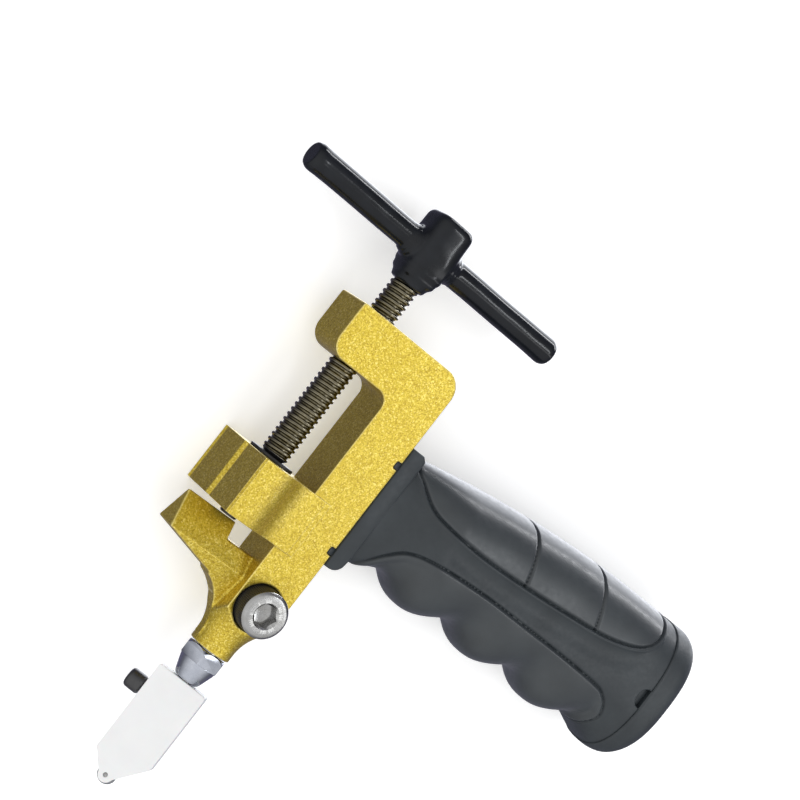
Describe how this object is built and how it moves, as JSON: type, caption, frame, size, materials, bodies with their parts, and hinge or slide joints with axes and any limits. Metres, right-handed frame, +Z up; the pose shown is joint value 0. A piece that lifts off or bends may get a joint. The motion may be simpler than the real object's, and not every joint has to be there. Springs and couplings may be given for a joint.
{
  "type": "hand-held glass cutter",
  "caption": "Pistol-grip glass and tile cutter: a wheel head scores the pane and a screw-driven jaw in a C-frame snaps it over a ridge.",
  "frame": {"origin": "under the middle of the whole tool as it lies on its far side", "axes": "+X from the jaws back to the grip, +Y up the spindle to the T-handle, +Z up from the surface that it lies on"},
  "size_m": [0.185, 0.1704, 0.031],
  "materials": {
    "gold_casting": "metallic gold powder coat with a fine grain",
    "steel_spindle": "rolled thread, lightly oiled",
    "screw_steel": "bright zinc",
    "inner_steel": "plain steel",
    "black_steel": "black oxide",
    "black_vinyl": "glossy dipped vinyl",
    "chrome_collar": "polished chrome",
    "white_head": "smooth satin white",
    "carbide": "ground carbide",
    "black_knob": "black satin",
    "grip_plastic": "fine matt moulding texture",
    "grip_soft": "satin soft rubber"
  },
  "bodies": {
    "frame": {"frame": "gold_casting", "grip_core": "grip_plastic", "palm_pad": "grip_soft", "finger_pad": "grip_soft", "grip_bolt": "screw_steel", "grip_bolt_washer": "screw_steel"},
    "butt_cap": {"butt_cap": "grip_plastic"},
    "jaw": {"moving_jaw": "gold_casting", "thrust_washer": "black_steel"},
    "spindle": {"spindle": "steel_spindle", "retaining_clip": "black_steel", "hub_core": "inner_steel", "hub_pin": "inner_steel", "cross_bar": "inner_steel", "handle_coat": "black_vinyl"},
    "clamp_screw": {"clamp_screw": "screw_steel"},
    "cutter_shank": {"cutter_shank": "screw_steel", "hex_collar": "chrome_collar"},
    "cutter_head": {"cutter_head": "white_head", "wheel_axle": "inner_steel"},
    "wheel": {"cutting_wheel": "carbide"},
    "lock_screw": {"head_lock_screw": "black_knob"}
  },
  "joints": [
    {"name": "jaw_slide", "type": "slide", "parent": "frame", "child": "jaw", "axis": [0, 1, 0], "range_m": [0, 0.027]},
    {"name": "spindle_turn", "type": "hinge", "parent": "jaw", "child": "spindle", "pos_m": [-0.0489, 0, 0.0155], "axis": [0, 1, 0], "range_deg": [0, 6090]},
    {"name": "clamp_screw_turn", "type": "hinge", "parent": "frame", "child": "clamp_screw", "pos_m": [-0.029, -0.02435, 0.0155], "axis": [0, 0, 1], "range_deg": [0, 720]},
    {"name": "shank_slide", "type": "slide", "parent": "frame", "child": "cutter_shank", "axis": [0, -1, 0], "range_m": [0, 0.012]},
    {"name": "head_swivel", "type": "hinge", "parent": "cutter_shank", "child": "cutter_head", "pos_m": [-0.029, -0.06025, 0.0155], "axis": [0, 1, 0], "continuous": true},
    {"name": "wheel_spin", "type": "hinge", "parent": "cutter_head", "child": "wheel", "pos_m": [-0.02983, -0.08245, 0.01494], "axis": [-0.5592, 0, 0.829], "continuous": true},
    {"name": "lock_screw_turn", "type": "hinge", "parent": "cutter_head", "child": "lock_screw", "pos_m": [-0.03522, -0.05895, 0.01131], "axis": [-0.829, 0, -0.5592], "range_deg": [0, 720]},
    {"name": "butt_cap_pull", "type": "slide", "parent": "frame", "child": "butt_cap", "axis": [1, 0, 0], "range_m": [0, 0.012]}
  ],
  "couplings": [
    {"joint": "spindle_turn", "follows": "jaw_slide", "rad_per_m": 3927}
  ]
}
